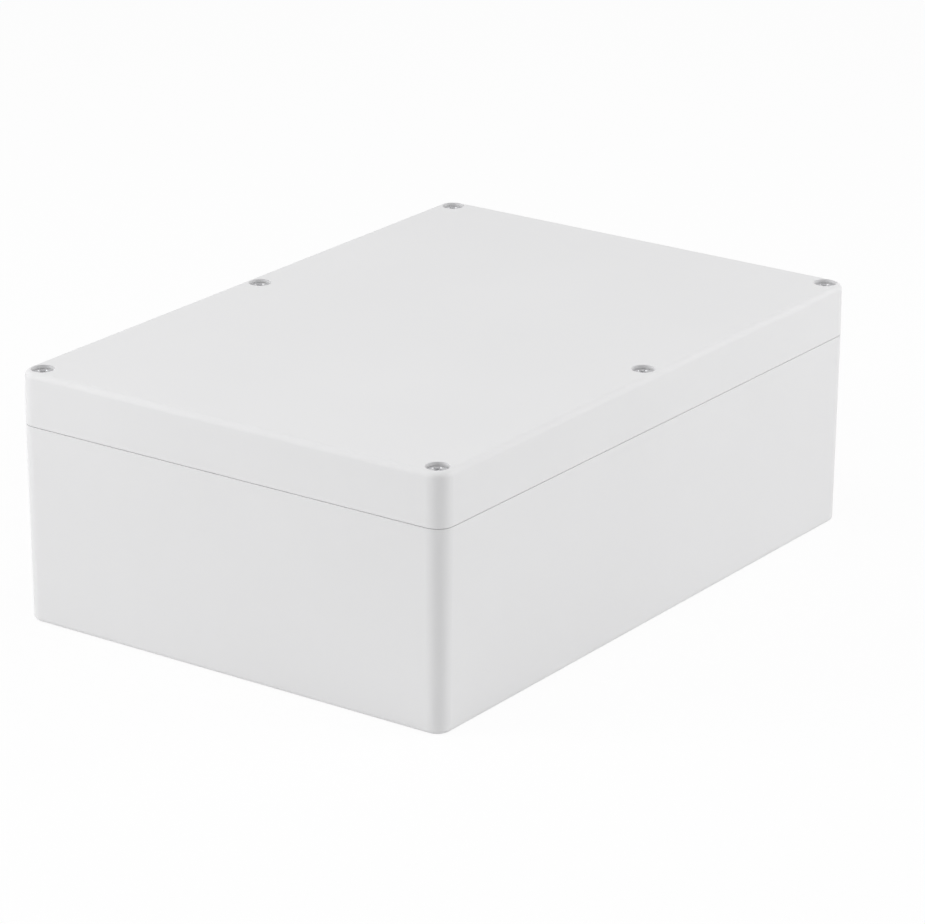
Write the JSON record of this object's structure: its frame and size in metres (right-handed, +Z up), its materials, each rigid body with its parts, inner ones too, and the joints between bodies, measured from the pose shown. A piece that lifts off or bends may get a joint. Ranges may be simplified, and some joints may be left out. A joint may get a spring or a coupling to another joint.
{
  "type": "plastic project box",
  "caption": "Sealed light grey plastic project box: a deep base and a shallow lid closed by countersunk screws, with a gasket, board standoffs and hidden wall-mounting holes.",
  "frame": {"origin": "middle of the underside, on the surface that the box stands on", "axes": "+X along the length, +Y across the width towards the rear, +Z up through the lid"},
  "size_m": [0.263, 0.185, 0.095],
  "materials": {
    "box_plastic": "fine moulded grain",
    "gasket_rubber": "soft matte",
    "insert_brass": "turned",
    "screw_steel": "plain stainless"
  },
  "bodies": {
    "base": {"base_shell": "box_plastic", "threaded_inserts": "insert_brass"},
    "lid": {"lid": "box_plastic", "gasket": "gasket_rubber"},
    "screw_front_left": {"lid_screw_front_left": "screw_steel"},
    "screw_front_middle": {"lid_screw_front_middle": "screw_steel"},
    "screw_front_right": {"lid_screw_front_right": "screw_steel"},
    "screw_rear_left": {"lid_screw_rear_left": "screw_steel"},
    "screw_rear_middle": {"lid_screw_rear_middle": "screw_steel"},
    "screw_rear_right": {"lid_screw_rear_right": "screw_steel"}
  },
  "joints": [
    {"name": "lid_lift", "type": "slide", "parent": "base", "child": "lid", "axis": [0, 0, 1], "range_m": [0, 0.11]},
    {"name": "screw_front_left_out", "type": "slide", "parent": "lid", "child": "screw_front_left", "axis": [0, 0, 1], "range_m": [0, 0.03]},
    {"name": "screw_front_middle_out", "type": "slide", "parent": "lid", "child": "screw_front_middle", "axis": [0, 0, 1], "range_m": [0, 0.03]},
    {"name": "screw_front_right_out", "type": "slide", "parent": "lid", "child": "screw_front_right", "axis": [0, 0, 1], "range_m": [0, 0.03]},
    {"name": "screw_rear_left_out", "type": "slide", "parent": "lid", "child": "screw_rear_left", "axis": [0, 0, 1], "range_m": [0, 0.03]},
    {"name": "screw_rear_middle_out", "type": "slide", "parent": "lid", "child": "screw_rear_middle", "axis": [0, 0, 1], "range_m": [0, 0.03]},
    {"name": "screw_rear_right_out", "type": "slide", "parent": "lid", "child": "screw_rear_right", "axis": [0, 0, 1], "range_m": [0, 0.03]}
  ]
}
